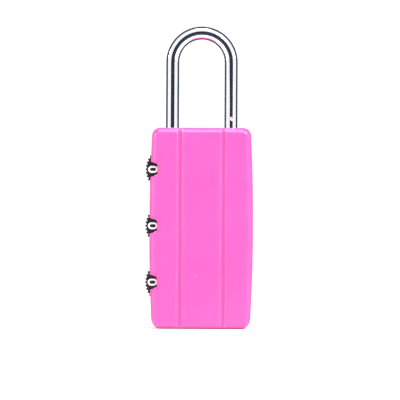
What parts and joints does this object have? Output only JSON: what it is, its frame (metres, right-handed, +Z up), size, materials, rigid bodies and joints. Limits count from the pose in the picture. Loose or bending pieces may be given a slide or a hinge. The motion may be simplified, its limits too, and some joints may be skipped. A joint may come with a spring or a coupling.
{
  "type": "luggage combination padlock",
  "caption": "Slim combination padlock for luggage: suitcase-shaped plastic body, toothed number dials at one side and a chromed U shackle that lifts when the code is set.",
  "frame": {"origin": "centre of the lock body's flat base, on the seam plane between the two half shells", "axes": "+Z up, from the base to the top of the shackle; -Y is the front face with the numeral windows; -X is the side where the dials stand out"},
  "size_m": [0.0246, 0.013, 0.0693],
  "materials": {
    "case": "smooth moulded ABS, pink, satin gloss",
    "chassis_zinc": "raw zinc die casting",
    "shackle_chrome": "polished chrome plate",
    "stamped_steel": "zinc-plated steel",
    "spring_steel": "bright spring steel",
    "screw_steel": "zinc-plated steel",
    "post_steel": "turned steel",
    "dial_black": "satin black acetal",
    "numeral_white": "white enamel filling",
    "tumbler_brass": "turned brass"
  },
  "bodies": {
    "lock_body": {"front_cover": "case", "rear_cover": "case", "chassis": "chassis_zinc", "chassis_screws": "screw_steel", "dial_click_spring": "spring_steel", "shackle_catch_spring": "spring_steel", "reset_springs": "spring_steel", "dial_post_1": "post_steel", "dial_post_2": "post_steel", "dial_post_3": "post_steel", "tumbler_spring_1": "spring_steel", "tumbler_spring_2": "spring_steel", "tumbler_spring_3": "spring_steel"},
    "shackle_assembly": {"shackle": "shackle_chrome", "locking_slider": "stamped_steel"},
    "reset": {"reset_plate": "stamped_steel", "reset_button": "stamped_steel"},
    "dial_1": {"dial_1": "dial_black", "dial_numerals_1": "numeral_white"},
    "tumbler_1": {"tumbler_1": "tumbler_brass"},
    "dial_2": {"dial_2": "dial_black", "dial_numerals_2": "numeral_white"},
    "tumbler_2": {"tumbler_2": "tumbler_brass"},
    "dial_3": {"dial_3": "dial_black", "dial_numerals_3": "numeral_white"},
    "tumbler_3": {"tumbler_3": "tumbler_brass"}
  },
  "joints": [
    {"name": "shackle_lift", "type": "slide", "parent": "lock_body", "child": "shackle_assembly", "axis": [0, 0, 1], "range_m": [0, 0.007], "deforming": ["shackle_catch_spring"]},
    {"name": "reset_press", "type": "slide", "parent": "lock_body", "child": "reset", "axis": [0, -1, 0], "range_m": [0, 0.0019], "stiffness_N_per_m": 400, "springref_m": -0.0008, "deforming": ["reset_springs"]},
    {"name": "dial_1_turn", "type": "hinge", "parent": "lock_body", "child": "dial_1", "pos_m": [-0.0075, -0.00375, 0.01065], "axis": [0, 1, 0], "continuous": true, "deforming": ["dial_click_spring"]},
    {"name": "tumbler_1_slide", "type": "slide", "parent": "dial_1", "child": "tumbler_1", "axis": [0, -1, 0], "range_m": [0, 0.0012], "deforming": ["tumbler_spring_1"]},
    {"name": "dial_2_turn", "type": "hinge", "parent": "lock_body", "child": "dial_2", "pos_m": [-0.0075, -0.00375, 0.02355], "axis": [0, 1, 0], "continuous": true, "deforming": ["dial_click_spring"]},
    {"name": "tumbler_2_slide", "type": "slide", "parent": "dial_2", "child": "tumbler_2", "axis": [0, -1, 0], "range_m": [0, 0.0012], "deforming": ["tumbler_spring_2"]},
    {"name": "dial_3_turn", "type": "hinge", "parent": "lock_body", "child": "dial_3", "pos_m": [-0.0075, -0.00375, 0.03645], "axis": [0, 1, 0], "continuous": true, "deforming": ["dial_click_spring"]},
    {"name": "tumbler_3_slide", "type": "slide", "parent": "dial_3", "child": "tumbler_3", "axis": [0, -1, 0], "range_m": [0, 0.0012], "deforming": ["tumbler_spring_3"]}
  ],
  "couplings": [
    {"joint": "tumbler_1_slide", "follows": "reset_press", "ratio": 0.63158},
    {"joint": "tumbler_2_slide", "follows": "reset_press", "ratio": 0.63158},
    {"joint": "tumbler_3_slide", "follows": "reset_press", "ratio": 0.63158}
  ]
}
